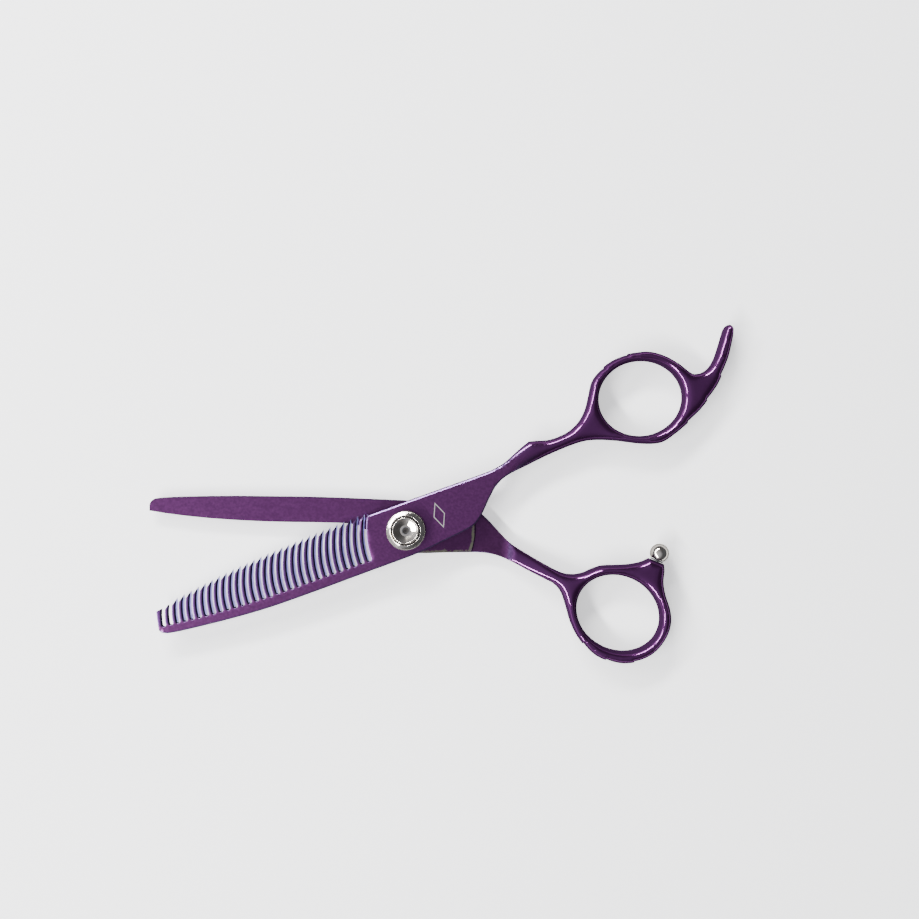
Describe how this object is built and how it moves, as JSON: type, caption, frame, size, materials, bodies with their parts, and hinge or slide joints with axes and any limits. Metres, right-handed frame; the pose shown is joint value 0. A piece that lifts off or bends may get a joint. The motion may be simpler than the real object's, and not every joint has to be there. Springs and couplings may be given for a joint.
{
  "type": "thinning shears",
  "caption": "Hair-thinning shears with a toothed half, a plain half, a finger rest, a round tension dial on the pivot and a ball bumper on the thumb ring.",
  "frame": {"origin": "middle of the pivot screw head's rear face, on the pivot axis and on the plane that the shears lie on", "axes": "+Z along the pivot axis, from the rear face towards the tension dial; +X from the blades towards the finger rings, along the plain half turned 5 degrees; +Y across, from the thumb ring towards the finger ring"},
  "size_m": [0.1545, 0.0893, 0.0085],
  "materials": {
    "coated_steel": "satin metallic purple coating on the blades, glossier on the rings",
    "polished_steel": "polished",
    "chrome": "mirror chrome",
    "spring_steel": "satin",
    "bronze": "plain turned",
    "nylon": "plain white",
    "black_rubber": "matte"
  },
  "bodies": {
    "finger_half": {"toothed_half": "coated_steel", "pivot_bush": "bronze", "base_washer": "spring_steel"},
    "thumb_half": {"plain_half": "coated_steel", "pivot_screw": "polished_steel", "ride_washer": "nylon", "spring_washer": "spring_steel", "click_plate": "spring_steel", "lock_screw": "spring_steel", "bumper_head": "chrome", "bumper_washer": "black_rubber", "bumper_stud": "spring_steel"},
    "dial": {"tension_dial": "chrome", "dial_cap": "chrome", "detent_ball": "polished_steel", "detent_spring": "spring_steel"}
  },
  "joints": [
    {"name": "pivot", "type": "hinge", "parent": "finger_half", "child": "thumb_half", "pos_m": [0, 0, 0], "axis": [0, 0, 1], "range_deg": [-115, 22.5]},
    {"name": "tension_dial_turn", "type": "hinge", "parent": "thumb_half", "child": "dial", "pos_m": [0, 0, 0.007], "axis": [0, 0, 1], "range_deg": [-180, 180]}
  ]
}
